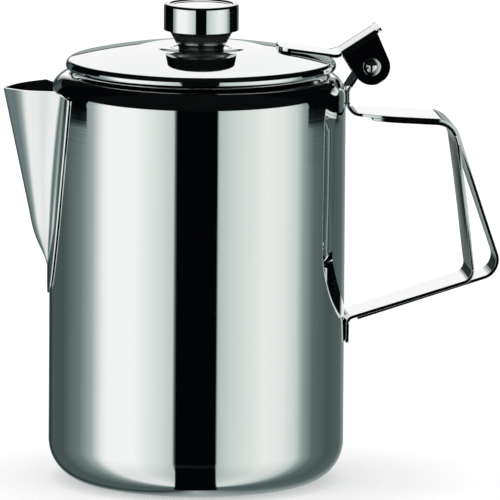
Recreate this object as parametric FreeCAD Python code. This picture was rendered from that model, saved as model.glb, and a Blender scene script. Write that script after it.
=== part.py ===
import FreeCAD, Part
import math
import os

from FreeCAD import Vector

# A hinged-lid coffee pot in polished stainless sheet, drawn in millimetres.
# The origin is the middle of the base on the table, +Z is up,
# the spout points to -X and the handle to +X.

# Body: one drawn cup with a rounded base corner and a drawn-in shoulder
body_radius = 56.0
body_height = 156.4
body_wall = 0.8
base_corner_radius = 15.5
shoulder_radius = 9.0
mouth_radius = 45.0
mouth_lip_depth = 3.5
mouth_lip_radius = 1.6

# Spout: a pressed trough with a flange that laps the body and ends below in a tongue
spout_wall = 1.1
spout_rim_drop = 5.8
spout_length = 78.6
spout_flange_half_width = 26.0
spout_flange_power = 0.48
spout_flange_points = 9
spout_tongue_length = 5.6
spout_trough_half_width = 15.0
spout_trough_start = 1.6
spout_flare = 7.0
spout_flare_power = 12
spout_keel_slope = 0.202
spout_knee_slope = 0.52
spout_knee_rise = 11.0
spout_knee_length = 12.0
spout_knee_blend = 5.0
spout_crest = 0.3
spout_sink = 0.6
spout_nose_radius = 3.6
spout_nose_share = 0.5
spout_flank_bow = 0.1
spout_flank_share = 0.42
spout_fold_radius = 4.5
spout_fold_share = 0.3
spout_fold_lap = 1.2
spout_fold_dip = 0.5
spout_hollow_share = 2.4
spout_sharpest_bend = 0.1
spout_rim_rise = 0.6
spout_ear_drop = 1.2
spout_ear_length = 5.6
spout_side_lap = 4.4
spout_loft_over = 2.0
spout_sections = 16

# Pouring hole: a rounded opening in the body wall behind the spout
pour_hole_drop = 8.6
pour_hole_length = 42.0
pour_hole_top_half_width = 11.0
pour_hole_bottom_half_width = 3.0
pour_hole_corner = 2.0

# Lid: a shallow crown with a rolled edge and a dimple that seats the knob
lid_radius = 51.2
lid_wall = 0.8
lid_crown_radius = 207.0
lid_edge_radius = 2.4
lid_edge_roll = 45.0
lid_gap = 1.0
lid_set_back = 1.1
lid_seat_depth = 2.0
lid_seat_radius = 16.5
lid_seat_flat = 9.4

# Knob: a turned conical stem under a pressed cap, held by a screw from inside the lid
stem_foot_radius = 8.5
stem_neck_radius = 12.3
stem_height = 7.2
stem_head_height = 6.4
cap_radius = 14.2
cap_height = 10.0
cap_wall = 0.8
cap_edge_radius = 2.0
cap_dish_radius = 11.6
cap_dish_depth = 0.7
screw_radius = 2.0
screw_length = 12.0
screw_head_radius = 4.2
screw_head_height = 2.4
screw_slot_width = 1.1
screw_slot_depth = 1.2
screw_washer_radius = 6.0
screw_washer_thickness = 0.8

# Hinge: a rivet through the lever's two ears and the curled end of the handle strap
pin_reach = 9.2
pin_rise = 2.2
pin_radius = 1.6
rivet_head_radius = 2.3
rivet_head_height = 1.1
hinge_washer_radius = 3.4
hinge_washer_thickness = 0.5
running_clearance = 0.05
snug_clearance = 0.02
side_clearance = 0.4

# Lid lever: one folded plate, flat on the lid, turned up for the thumb, ears folded down
lever_wall = 1.3
lever_start = 29.0
lever_bend_reach = 52.6
lever_seat_gap = 0.05
lever_thumb_angle = 32.5
lever_thumb_length = 19.6
lever_bend_radius = 5.0
lever_corner_radius = 4.0
lever_tip_radius = 1.4
lever_fold_radius = 2.3
ear_end_radius = 7.0
ear_back_flare = 1.7

# Handle: two straps, each welded to the body at one end and to the other strap.
# Seen from behind they widen from a narrow foot to the grip, and on top they taper to the hinge tongue.
strap_wall = 1.2
grip_width = 34.0
inner_middle_width = 27.5
outer_middle_width = 17.0
handle_middle_drop = 44.6
run_width = 27.0
run_reach = 12.8
inner_foot_width = 16.0
outer_foot_width = 24.0
tongue_width = 14.0
tongue_rise = 8.9
tongue_bend_radius = 3.0
handle_top_drop = 15.8
handle_top_bend = 4.0
handle_top_slope = 3.5
handle_top_length = 39.6
handle_shoulder_radius = 9.0
outer_grip_lean = 18.5
inner_grip_lean = 7.4
strap_parting = 7.4
strap_parting_bend = 10.0
outer_heel_radius = 7.0
inner_heel_radius = 4.6
handle_drop = 78.2
handle_foot_slope = 17.2
handle_foot_bend = 2.6
foot_flange_length = 9.6
top_lap_start = 9.0
foot_lap_start = 3.7
strap_corner_radius = 3.0
weld_gap = 0.02

# How closely an edge must match to be picked for rounding
pick_tolerance = 0.01

# A right angle, in degrees
quarter_turn = 90.0

# Places that follow from the sizes above
spout_rim_height = body_height - spout_rim_drop
spout_foot_height = spout_rim_height - spout_length
spout_trough_length = spout_length - spout_tongue_length
handle_top_height = body_height - handle_top_drop
handle_foot_height = handle_top_height - handle_drop
pin_x = body_radius + pin_reach
pin_z = body_height + pin_rise
lever_width = tongue_width + 2 * (side_clearance + lever_wall)
knuckle_radius = pin_radius + running_clearance + strap_wall / 2


def spot(x, z):
    """A point in the pot's middle plane."""
    return Vector(x, 0, z)


def heading(degrees):
    """A unit direction in the middle plane, measured up from +X."""
    return spot(math.cos(math.radians(degrees)), math.sin(math.radians(degrees)))


def meet(start, angle, other, other_angle):
    """Where two lines in the middle plane cross."""
    along = heading(angle)
    across = heading(other_angle + quarter_turn)
    step = (other - start).dot(across) / along.dot(across)
    return start + along * step


def rounded_edges(corners, radii):
    """Straight runs through the corners, with a tangent arc of the given radius at each inner one."""
    edges = []
    last = corners[0]
    for before, corner, after, radius in zip(corners, corners[1:], corners[2:], radii):
        arriving = (corner - before).normalize()
        leaving = (after - corner).normalize()
        half_turn = arriving.getAngle(leaving) / 2
        inward = (leaving - arriving).normalize()
        centre = corner + inward * (radius / math.cos(half_turn))
        enter = corner - arriving * (radius * math.tan(half_turn))
        leave = corner + leaving * (radius * math.tan(half_turn))
        edges.append(Part.makeLine(last, enter))
        edges.append(Part.Arc(enter, centre - inward * radius, leave).toShape())
        last = leave
    edges.append(Part.makeLine(last, corners[-1]))
    return edges


def shifted_path(corners, radii, normal, shift):
    """The same path moved sideways by shift, to the left as seen against the normal."""
    sides = [normal.cross((b - a).normalize()) for a, b in zip(corners, corners[1:])]
    moved = [corners[0] + sides[0] * shift]
    bends = []
    for corner, one, two, radius in zip(corners[1:], sides, sides[1:], radii):
        bisector = (one + two).normalize()
        moved.append(corner + bisector * (shift / bisector.dot(one)))
        turns_left = one.cross(two).dot(normal) > 0
        bends.append(radius - shift if turns_left else radius + shift)
    moved.append(corners[-1] + sides[-1] * shift)
    return moved, bends


def strip_face(corners, radii, normal, left, right):
    """A band of sheet that follows a path, from its left side to its right side."""
    near = rounded_edges(*shifted_path(corners, radii, normal, left))
    far = rounded_edges(*shifted_path(corners, radii, normal, right))
    ends = [
        Part.makeLine(near[0].Vertexes[0].Point, far[0].Vertexes[0].Point),
        Part.makeLine(near[-1].Vertexes[-1].Point, far[-1].Vertexes[-1].Point),
    ]
    return Part.Face(Part.Wire(Part.__sortEdges__(near + far + ends)))


def across_middle(face, width):
    """A prism of the given width with the middle plane at its centre."""
    prism = face.extrude(Vector(0, width, 0))
    prism.translate(Vector(0, -width / 2, 0))
    return prism


def turned(face):
    """A solid of revolution about the pot's axis."""
    return face.revolve(Vector(0, 0, 0), Vector(0, 0, 1), 360)


def filled(edges):
    """A face inside a closed run of edges."""
    return Part.Face(Part.Wire(Part.__sortEdges__(edges)))


def polygon(points):
    """A flat face with straight sides."""
    return Part.Face(Part.makePolygon(points + [points[0]]))


def cross_pin(radius, length):
    """A rod on the hinge axis with the middle plane at its centre."""
    return Part.makeCylinder(radius, length, Vector(pin_x, -length / 2, pin_z), Vector(0, 1, 0))


def on_lid(shape):
    """A shape made round the pot's axis, moved to the lid's own axis."""
    return shape.translated(Vector(lid_set_back, 0, 0))


def save(name, shape):
    """Write one piece and say how large it is."""
    shape.exportStep(os.path.join("parts", name + ".step"))
    print(name, "solids", len(shape.Solids), "volume", round(shape.Volume, 1), "valid", shape.isValid())


def make_body():
    """The drawn cup: flat base, straight wall, rounded shoulder, mouth edge turned down."""
    corners = [
        spot(0, 0),
        spot(body_radius, 0),
        spot(body_radius, body_height),
        spot(mouth_radius, body_height),
        spot(mouth_radius, body_height - mouth_lip_depth),
    ]
    bends = [base_corner_radius, shoulder_radius, mouth_lip_radius]
    cup = turned(strip_face(corners, bends, Vector(0, -1, 0), body_wall, 0))
    return cup.cut(pour_hole())


def pour_hole():
    """A rounded taper, pushed through the front wall."""
    top = spout_rim_height - pour_hole_drop
    bottom = top - pour_hole_length
    wide, narrow = pour_hole_top_half_width, pour_hole_bottom_half_width
    start = Vector(-body_radius - body_wall, 0, top)
    loop = [
        start,
        start + Vector(0, wide, 0),
        start + Vector(0, narrow, bottom - top),
        start + Vector(0, -narrow, bottom - top),
        start + Vector(0, -wide, 0),
        start,
    ]
    outline = filled(rounded_edges(loop, [pour_hole_corner] * 4))
    return outline.extrude(Vector(body_radius / 2, 0, 0))


def soft_ramp(height, start, blend):
    """Zero below start and rising one for one above it, with a smooth change over the blend."""
    past = height - start
    if past < -blend:
        return 0.0
    if past > blend:
        return past
    return (past + blend) ** 2 / (4 * blend)


def keel_reach(height):
    """How far the spout's keel stands from the pot's axis."""
    knee_low = spout_foot_height + spout_knee_rise
    knee = spout_knee_slope * soft_ramp(height, knee_low, spout_knee_blend)
    turn = spout_keel_slope - spout_knee_slope
    upper = turn * soft_ramp(height, knee_low + spout_knee_length, spout_knee_blend)
    return body_radius + spout_wall + spout_crest + knee + upper


def flange_half_width(height):
    """Half the width between the flange's two edges."""
    share = (height - spout_foot_height) / spout_length
    return spout_flange_half_width * share ** spout_flange_power


def trough_share(height):
    """How far up the trough a height is, from zero at its foot to one at the rim."""
    return 1 - (spout_rim_height - height) / spout_trough_length


def trough_half_width(height):
    """Half the width of the trough where its flanks come down on the flange."""
    share = trough_share(height)
    straight = spout_trough_start + (spout_trough_half_width - spout_trough_start) * share
    return straight + spout_flare * share ** spout_flare_power


def trough_corners(height):
    """One half of the trough's outline: nose, middle of the bowed flank and fold at the flange."""
    half = trough_half_width(height)
    outside = body_radius + spout_wall
    sunk = Vector(spout_sink * (1 - trough_share(height)), 0, 0)
    nose = Vector(-keel_reach(height), 0, height) + sunk
    fold = Vector(-math.sqrt(outside ** 2 - half ** 2), half, height) + sunk
    flank = fold - nose
    middle = nose + flank / 2 + Vector(-flank.y, flank.x, 0) * spout_flank_bow
    return nose, middle, fold


def flank_bend(nose, middle, fold):
    """The radius that bows a flank over most of its length."""
    half_turn = (middle - nose).getAngle(fold - middle) / 2
    return spout_flank_share * (middle - nose).Length / math.tan(half_turn)


def trough_section(height):
    """The trough's outside at one height, folded out at both sides to run into the flange."""
    nose, middle, fold = trough_corners(height)
    outside = body_radius + spout_wall
    half = trough_half_width(height)
    along_wall = Vector(fold.y, math.sqrt(outside ** 2 - half ** 2), 0) / outside
    inward = Vector(along_wall.y, -along_wall.x, 0)
    dip = fold + along_wall * (spout_fold_lap + half * spout_fold_share) + inward * spout_fold_dip
    end = dip + inward * spout_side_lap
    line = [end, dip, fold, middle, nose]
    line += [flipped(point) for point in reversed(line[:-1])]
    fold_bend = min(spout_fold_radius, spout_fold_share * half)
    nose_bend = min(spout_nose_radius, spout_nose_share * half)
    bends = [spout_sharpest_bend, fold_bend, flank_bend(nose, middle, fold)]
    edges = rounded_edges(line, bends + [nose_bend] + bends[::-1])
    edges.append(Part.makeLine(line[-1], line[0]))
    return Part.Wire(edges)


def channel_section(height):
    """The trough's inside at one height, run on into the body."""
    nose, middle, fold = trough_corners(height)
    deep = fold + (fold - middle).normalize() * spout_side_lap
    line = [deep, middle, nose, flipped(middle), flipped(deep)]
    path, _ = shifted_path(line, [0, 0, 0], Vector(0, 0, 1), spout_wall)
    inner_middle, inner_nose = path[1], path[2]
    bow = flank_bend(inner_nose, inner_middle, path[0])
    nose_bend = min(spout_nose_radius - spout_wall, spout_nose_share * inner_middle.y)
    edges = rounded_edges(path, [bow, nose_bend, bow])
    edges.append(Part.makeLine(path[-1], path[0]))
    return Part.Wire(edges)


def flipped(point):
    """The same point on the other side of the middle plane."""
    return Vector(point.x, -point.y, point.z)


def make_spout():
    """The trough and its flange in one sheet, clear of the wall and trimmed at the rim."""
    low = spout_rim_height - spout_trough_length
    high = spout_rim_height + spout_loft_over
    heights = [low + (high - low) * n / spout_sections for n in range(spout_sections + 1)]
    hollow = [h for h in heights if trough_half_width(h) > spout_hollow_share * spout_wall]
    trough = Part.makeLoft([trough_section(h) for h in heights], True, False)
    channel = Part.makeLoft([channel_section(h) for h in hollow], True, False)
    wall = Part.makeCylinder(body_radius + weld_gap, body_height)
    return trough.fuse(spout_flange()).cut(channel).cut(wall).cut(rim_trim()).removeSplitter()


def spout_flange():
    """The band of sheet on the wall, cut to the flange's outline."""
    rise = spout_length + spout_loft_over
    shares = [(n / spout_flange_points) ** 2 for n in range(spout_flange_points + 1)]
    heights = [spout_foot_height + rise * share for share in shares]
    side = [Vector(0, flange_half_width(h), h) for h in heights]
    edge = Part.BSplineCurve()
    edge.interpolate([flipped(point) for point in reversed(side)] + side[1:])
    outline = filled([edge.toShape(), Part.makeLine(side[-1], flipped(side[-1]))])
    return outline.extrude(Vector(-2 * body_radius, 0, 0)).common(flange_band())


def flange_band():
    """A ring of sheet round the body, as tall as the spout."""
    height = spout_length + spout_loft_over
    outside = Part.makeCylinder(body_radius + spout_wall, height, spot(0, spout_foot_height))
    inside = Part.makeCylinder(body_radius + weld_gap, height, spot(0, spout_foot_height))
    return outside.cut(inside)


def rim_trim():
    """All that lies above the spout's rim, which drops over the two flanges."""
    front = -keel_reach(spout_rim_height) - spout_wall
    corner = -body_radius * math.cos(math.asin(spout_flange_half_width / body_radius))
    above = spout_rim_height + 2 * spout_loft_over
    side = polygon([
        spot(front, spout_rim_height),
        spot(corner - spout_ear_length, spout_rim_height + spout_rim_rise),
        spot(corner, spout_rim_height - spout_ear_drop),
        spot(0, spout_rim_height - spout_ear_drop),
        spot(0, above),
        spot(front, above),
    ])
    return across_middle(side, 2 * body_radius)


def shoulder_height(distance):
    """Height of the body's shoulder at a distance from the axis."""
    inside = distance - (body_radius - shoulder_radius)
    return body_height - shoulder_radius + math.sqrt(shoulder_radius ** 2 - inside ** 2)


def lid_numbers():
    """The lid's crown centre and the centre of its rolled edge, a small gap above the shoulder."""
    roll = heading(-lid_edge_roll) * lid_edge_radius
    edge_x = lid_radius - lid_edge_radius
    edge_z = shoulder_height(edge_x + roll.x - lid_set_back) + lid_gap - roll.z
    rise = math.sqrt((lid_crown_radius - lid_edge_radius) ** 2 - edge_x ** 2)
    return spot(0, edge_z - rise), spot(edge_x, edge_z)


def crown_height(distance, inset=0.0):
    """Height of the lid's crown at a distance from the axis."""
    crown_centre, _ = lid_numbers()
    return crown_centre.z + math.sqrt((lid_crown_radius - inset) ** 2 - distance ** 2)


def seat_height():
    """Height of the flat in the lid's dimple, on which the knob stands."""
    return crown_height(0) - lid_seat_depth


def lid_line(inset):
    """One face of the lid from the axis outwards: dimple, crown and an edge rolled under."""
    crown_centre, edge_centre = lid_numbers()
    crown = lid_crown_radius - inset
    edge = lid_edge_radius - inset
    along = (edge_centre - crown_centre).normalize()
    seat = seat_height() - inset
    lip = spot(lid_seat_radius, crown_height(lid_seat_radius, inset))
    falling = Vector(lip.z - crown_centre.z, 0, -lip.x).normalize()
    flat_end = spot(lid_seat_flat, seat)
    rise = Part.BSplineCurve()
    reach = lid_seat_radius - lid_seat_flat
    level = Vector(reach, 0, 0)
    rise.interpolate(Points=[flat_end, lip], InitialTangent=level, FinalTangent=falling * reach)
    shoulder = crown_centre + along * crown
    middle_x = (lip.x + shoulder.x) / 2
    middle = spot(middle_x, crown_height(middle_x, inset))
    under = heading(-lid_edge_roll)
    halfway = (along + under).normalize()
    return [
        Part.makeLine(spot(0, seat), flat_end),
        rise.toShape(),
        Part.Arc(lip, middle, shoulder).toShape(),
        Part.Arc(shoulder, edge_centre + halfway * edge, edge_centre + under * edge).toShape(),
    ]


def make_lid():
    """The pressed lid, with a hole for the knob's screw, round its own axis."""
    outer = lid_line(0)
    inner = lid_line(lid_wall)
    joins = [
        Part.makeLine(outer[0].Vertexes[0].Point, inner[0].Vertexes[0].Point),
        Part.makeLine(outer[-1].Vertexes[-1].Point, inner[-1].Vertexes[-1].Point),
    ]
    shell = turned(filled(outer + inner + joins))
    hole = Part.makeCylinder(screw_radius + running_clearance, body_height, spot(0, body_height / 2))
    return shell.cut(hole)


def make_knob_stem():
    """The turned stem: a cone that widens upwards, a head inside the cap and a blind screw hole."""
    foot = seat_height()
    neck = foot + stem_height
    head_radius = cap_radius - cap_wall - snug_clearance
    top = neck + stem_head_height
    outline = polygon([
        spot(0, foot),
        spot(stem_foot_radius, foot),
        spot(stem_neck_radius, neck),
        spot(head_radius, neck),
        spot(head_radius, top),
        spot(0, top),
    ])
    depth = screw_length - lid_wall - screw_washer_thickness + snug_clearance
    hole = Part.makeCylinder(screw_radius + snug_clearance, depth, spot(0, foot))
    return turned(outline).cut(hole)


def make_knob_cap():
    """The pressed cap: a cup turned over the stem's head, with a dished top."""
    low = seat_height() + stem_height
    high = low + cap_height
    dish = high - cap_dish_depth
    corners = [
        spot(0, dish),
        spot(cap_dish_radius - cap_dish_depth, dish),
        spot(cap_dish_radius, high),
        spot(cap_radius, high),
        spot(cap_radius, low),
    ]
    bends = [2 * cap_dish_depth, cap_dish_depth, cap_edge_radius]
    return turned(strip_face(corners, bends, Vector(0, -1, 0), 0, -cap_wall))


def make_knob_washer():
    """The flat washer under the lid."""
    low = seat_height() - lid_wall - screw_washer_thickness
    disc = Part.makeCylinder(screw_washer_radius, screw_washer_thickness, spot(0, low))
    hole = Part.makeCylinder(screw_radius + running_clearance, screw_washer_thickness, spot(0, low))
    return disc.cut(hole)


def make_knob_screw():
    """The slotted screw that draws the knob down on the lid."""
    seat = seat_height() - lid_wall - screw_washer_thickness
    shank = Part.makeCylinder(screw_radius, screw_length, spot(0, seat))
    low = seat - screw_head_height
    head = Part.makeCylinder(screw_head_radius, screw_head_height, spot(0, low))
    rim = [edge for edge in head.Edges if abs(edge.CenterOfMass.z - low) < pick_tolerance]
    head = head.makeFillet(screw_head_height / 3, rim)
    slot = Part.makeBox(2 * screw_head_radius, screw_slot_width, screw_slot_depth)
    slot.translate(Vector(-screw_head_radius, -screw_slot_width / 2, low))
    return shank.fuse(head).cut(slot).removeSplitter()


def lever_points():
    """The lever's under side: its start on the crown, its bend past the lid's edge and its thumb end."""
    crown_centre, _ = lid_numbers()
    start = spot(lid_set_back + lever_start, crown_height(lever_start, -lever_seat_gap))
    slope = -math.degrees(math.asin(lever_start / (lid_crown_radius + lever_seat_gap)))
    bend = meet(start, slope, spot(lever_bend_reach, 0), quarter_turn)
    tip = bend + heading(lever_thumb_angle) * lever_thumb_length
    return start, bend, tip


def ear_corners():
    """Where an ear's two sides leave the thumb plate: the front one square to it, the back one flared."""
    _, bend, _ = lever_points()
    pin = spot(pin_x, pin_z)
    middle = meet(pin, lever_thumb_angle + quarter_turn, bend, lever_thumb_angle)
    along = heading(lever_thumb_angle)
    return middle - along * ear_end_radius, middle + along * (ear_end_radius + ear_back_flare)


def ear_face():
    """The side view of one ear: two sides from the thumb plate to a round end about the rivet."""
    front, back = ear_corners()
    pin = spot(pin_x, pin_z)
    reach = heading(lever_thumb_angle) * ear_end_radius
    down = heading(lever_thumb_angle - quarter_turn)
    lift = down * (-lever_wall / 2)
    touch = tangent_point(back + lift, pin, ear_end_radius, -1)
    return filled([
        Part.makeLine(front + lift, pin - reach),
        Part.Arc(pin - reach, pin + down * ear_end_radius, touch).toShape(),
        Part.makeLine(touch, back + lift),
        Part.makeLine(back + lift, front + lift),
    ])


def fold_trim():
    """What the bends between the thumb plate and the ears leave out of square corners."""
    front, back = ear_corners()
    length = (back - front).Length
    radius = lever_fold_radius
    corner = Vector(0, lever_width / 2 - radius, lever_wall - radius)
    block = Part.makeBox(length, radius, radius, corner)
    one = block.cut(Part.makeCylinder(radius, length, corner, Vector(1, 0, 0)))
    both = on_both_sides(one)
    both.Placement = FreeCAD.Placement(front, FreeCAD.Rotation(Vector(0, 1, 0), -lever_thumb_angle))
    return both


def tangent_point(start, centre, radius, side):
    """Where a line from start just touches a circle, on the side asked for."""
    gap = centre - start
    swing = math.degrees(math.acos(radius / gap.Length))
    back = math.degrees(math.atan2(-gap.z, -gap.x))
    return centre + heading(back + side * swing) * radius


def make_lever():
    """The folded lever: seat plate, thumb plate and two ears with the rivet holes."""
    start, bend, tip = lever_points()
    strip = strip_face([start, bend, tip], [lever_bend_radius], Vector(0, -1, 0), lever_wall, 0)
    plate = across_middle(strip, lever_width)
    plate = rounded_end(plate, start, lever_corner_radius)
    plate = rounded_end(plate, tip, lever_tip_radius)
    ears = across_middle(ear_face(), lever_width)
    gap = across_middle(ear_face(), lever_width - 2 * lever_wall)
    lever = plate.fuse(ears.cut(gap).Solids).removeSplitter()
    return lever.cut(fold_trim()).cut(cross_pin(pin_radius + snug_clearance, 2 * lever_width))


def rounded_end(plate, place, radius):
    """The plate with the two corners at one end rounded off."""
    corners = [edge for edge in plate.Edges if crosses_sheet(edge, place, lever_wall)]
    return plate.makeFillet(radius, corners)


def crosses_sheet(edge, place, wall):
    """Whether an edge runs through the sheet's thickness at the end that holds the place."""
    level = abs(edge.Length - wall) < pick_tolerance
    middle = edge.CenterOfMass
    return level and abs(spot(middle.x, middle.z).distanceToPoint(place) - wall / 2) < pick_tolerance


def make_rivet():
    """The hinge rivet, with a domed head over each washer."""
    half = lever_width / 2 + hinge_washer_thickness
    rivet = cross_pin(pin_radius, 2 * half)
    ball = (rivet_head_radius ** 2 + rivet_head_height ** 2) / (2 * rivet_head_height)
    for side in (-1, 1):
        outward = Vector(0, side, 0)
        seat = Vector(pin_x, side * half, pin_z)
        blank = Part.makeCylinder(rivet_head_radius, rivet_head_height, seat, outward)
        dome = Part.makeSphere(ball, seat + outward * (rivet_head_height - ball))
        rivet = rivet.fuse(blank.common(dome))
    return rivet.removeSplitter()


def make_hinge_washers():
    """A plain washer against the outer face of each ear."""
    outside = cross_pin(hinge_washer_radius, lever_width + 2 * hinge_washer_thickness)
    between = cross_pin(hinge_washer_radius, lever_width)
    return outside.cut(between).cut(cross_pin(pin_radius + snug_clearance, 2 * lever_width))


def handle_corners():
    """The corners of both straps' middle lines, named as they are met from the hinge downwards."""
    tab_x = body_radius + weld_gap + strap_wall / 2
    tab = spot(tab_x, handle_top_height)
    shoulder = tab + heading(-handle_top_slope) * handle_top_length
    foot = spot(tab_x, handle_foot_height)
    outer_foot = foot - heading(handle_foot_slope + quarter_turn) * strap_wall
    heel = meet(shoulder, outer_grip_lean - quarter_turn, outer_foot, handle_foot_slope)
    lap = tab + heading(-handle_top_slope - quarter_turn) * strap_wall
    nested = shoulder - heading(outer_grip_lean) * strap_wall
    inner_shoulder = meet(lap, -handle_top_slope, nested, outer_grip_lean - quarter_turn)
    parting = inner_shoulder + heading(outer_grip_lean - quarter_turn) * strap_parting
    inner_heel = meet(parting, inner_grip_lean - quarter_turn, foot, handle_foot_slope)
    return tab, shoulder, heel, outer_foot, lap, inner_shoulder, parting, inner_heel, foot


def make_outer_strap():
    """The strap that carries the hinge: curl, tongue, weld tab, top run, outer grip and lower run."""
    tab, shoulder, heel, outer_foot, *_ = handle_corners()
    tongue = tab + spot(0, tongue_rise)
    curl = tangent_point(tongue, spot(pin_x, pin_z), knuckle_radius, -1)
    end = outer_foot + heading(handle_foot_slope) * foot_lap_start
    corners = [curl, tongue, tab, shoulder, heel, end]
    bends = [tongue_bend_radius, handle_top_bend, handle_shoulder_radius, outer_heel_radius]
    strap = make_strap(corners, bends, outer_foot_width, outer_middle_width).cut(tongue_trim())
    eye = cross_pin(knuckle_radius + strap_wall / 2, tongue_width)
    bore = cross_pin(pin_radius + running_clearance, 2 * grip_width)
    return strap.fuse(eye).cut(bore).removeSplitter()


def make_inner_strap():
    """The strap that lines the finger space: top lap, inner grip, lower run and weld flange."""
    *_, lap, inner_shoulder, parting, inner_heel, foot = handle_corners()
    start = lap + heading(-handle_top_slope) * top_lap_start
    end = spot(foot.x, foot.z - foot_flange_length)
    corners = [start, inner_shoulder, parting, inner_heel, foot, end]
    bends = [handle_shoulder_radius - strap_wall, strap_parting_bend, inner_heel_radius, handle_foot_bend]
    strap = make_strap(corners, bends, inner_foot_width, inner_middle_width)
    inside = end - Vector(strap_wall / 2, 0, 0)
    ends = [edge for edge in strap.Edges if crosses_sheet(edge, inside, strap_wall)]
    return strap.makeFillet(strap_corner_radius, ends)


def make_strap(corners, bends, foot_width, middle_width):
    """One strap of even sheet, cut to its outlines as seen from above and from behind."""
    face = strip_face(corners, bends, Vector(0, -1, 0), strap_wall / 2, -strap_wall / 2)
    return across_middle(face, grip_width).cut(plan_trim()).cut(back_trim(foot_width, middle_width))


def beyond(arc, shove):
    """The area on the far side of an arc, to be cut away."""
    first = arc.Vertexes[0].Point
    last = arc.Vertexes[-1].Point
    corner = Vector(first.x, grip_width, first.z)
    other = Vector(last.x, grip_width, last.z)
    edges = [arc, Part.makeLine(last, other), Part.makeLine(other, corner), Part.makeLine(corner, first)]
    return on_both_sides(filled(edges).extrude(shove))


def on_both_sides(shape):
    """A shape and its mirror image in the middle plane."""
    return Part.makeCompound([shape, shape.mirror(Vector(0, 0, 0), Vector(0, 1, 0))])


def plan_trim():
    """Seen from above, what is cut away to widen the top run from the tongue to the grip."""
    tab, shoulder, *_ = handle_corners()
    low = (handle_top_height + handle_foot_height) / 2
    start = Vector(tab.x - strap_wall, tongue_width / 2, low)
    middle = Vector(tab.x + run_reach, run_width / 2, low)
    end = Vector(shoulder.x, grip_width / 2, low)
    return beyond(Part.Arc(start, middle, end).toShape(), Vector(0, 0, body_height - low))


def back_trim(foot_width, middle_width):
    """Seen from behind, what is cut away to narrow a strap from the grip to its middle and its foot."""
    start = Vector(0, foot_width / 2, handle_foot_height - foot_flange_length)
    middle = Vector(0, middle_width / 2, handle_top_height - handle_middle_drop)
    end = Vector(0, grip_width / 2, handle_top_height + strap_wall)
    return beyond(Part.Arc(start, middle, end).toShape(), Vector(2 * pin_x, 0, 0))


def tongue_trim():
    """What is cut away beside the hinge tongue above the weld tab."""
    low = handle_top_height + handle_top_bend
    block = Part.makeBox(2 * pin_x, grip_width, pin_z, Vector(0, tongue_width / 2, low))
    return on_both_sides(block)


os.makedirs("parts", exist_ok=True)
save("body_shell", make_body())
save("spout", make_spout())
save("handle_outer_strap", make_outer_strap())
save("handle_inner_strap", make_inner_strap())
save("lid_shell", on_lid(make_lid()))
save("lid_lever", make_lever())
save("hinge_rivet", make_rivet())
save("hinge_washers", make_hinge_washers())
save("knob_cap", on_lid(make_knob_cap()))
save("knob_stem", on_lid(make_knob_stem()))
save("knob_washer", on_lid(make_knob_washer()))
save("knob_screw", on_lid(make_knob_screw()))
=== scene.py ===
# %% [markdown]
# # A coffee pot in mirror-polished stainless steel
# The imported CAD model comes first, as a fixed frame that says where every piece is and which body it moves
# with. Its meshes could be dressed as they are, but they are cut into long triangles, and on a mirror finish
# every triangle would show as a dent. So each visible piece is drawn again here as a clean grid of faces in
# the same place, and the CAD node is hidden.

# %% Load the frame
import math

import bmesh
import bpy
from mathutils import Matrix, Vector


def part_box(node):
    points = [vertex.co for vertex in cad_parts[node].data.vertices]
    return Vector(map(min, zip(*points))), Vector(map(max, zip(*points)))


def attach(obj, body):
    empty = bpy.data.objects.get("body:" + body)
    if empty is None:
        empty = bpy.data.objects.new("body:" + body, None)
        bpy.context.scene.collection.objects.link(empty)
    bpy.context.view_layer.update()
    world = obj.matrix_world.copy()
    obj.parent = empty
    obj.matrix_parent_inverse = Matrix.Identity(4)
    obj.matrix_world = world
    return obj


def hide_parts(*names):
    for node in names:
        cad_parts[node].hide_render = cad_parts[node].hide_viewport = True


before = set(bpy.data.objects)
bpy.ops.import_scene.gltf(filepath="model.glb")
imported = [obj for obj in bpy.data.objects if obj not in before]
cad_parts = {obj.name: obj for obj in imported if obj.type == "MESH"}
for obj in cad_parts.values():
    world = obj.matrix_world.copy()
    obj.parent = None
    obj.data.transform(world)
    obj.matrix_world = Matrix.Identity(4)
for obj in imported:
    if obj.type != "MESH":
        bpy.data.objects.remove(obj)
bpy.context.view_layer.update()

# %% Units
MM = 0.001


def size_of(cad_node):
    """A CAD node's lowest and highest corners at rest, in millimetres."""
    low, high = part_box(cad_node)
    return Vector(low) / MM, Vector(high) / MM


print("one drawing unit is", MM, "m")

# %% [markdown]
# ## The finishes
# The pot is pressed from stainless sheet and buffed to a mirror, so nearly all of its colour is what it
# reflects. A bare metal shader with no detail would look like chrome in a computer, so the buffing is drawn
# in: a faint haze that comes and goes in patches, hair lines along the way the mop ran, and a ripple of
# about a hundredth of a millimetre in the sheet that makes reflected edges swim a little.

# %% Colours


def linear(code):
    """An sRGB hex colour as the linear colour that shaders work in."""
    parts = [int(code[n:n + 2], 16) / 255 for n in (1, 3, 5)]
    return [p / 12.92 if p <= 0.04045 else ((p + 0.055) / 1.055) ** 2.4 for p in parts] + [1.0]


print("half-bright grey in shader values:", round(linear("#808080")[0], 3))

# %% Nodes and materials


def node(tree, kind, inputs, **settings):
    """Adds a node with its settings; an input is a number, a colour or the socket that feeds it."""
    made = tree.nodes.new(kind)
    for name, value in settings.items():
        setattr(made, name, value)
    for name, value in inputs.items():
        if isinstance(value, bpy.types.NodeSocket):
            tree.links.new(value, made.inputs[name])
        else:
            made.inputs[name].default_value = value
    return made


def per(millimetres):
    """The texture scale at which one pattern cell is that many millimetres wide."""
    return 1 / (millimetres * MM)


def new_material(name):
    """An empty node material and its tree."""
    made = bpy.data.materials.new(name)
    made.use_nodes = True
    made.node_tree.nodes.clear()
    return made, made.node_tree


print("a pattern of one millimetre has a scale of", per(1))

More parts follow.
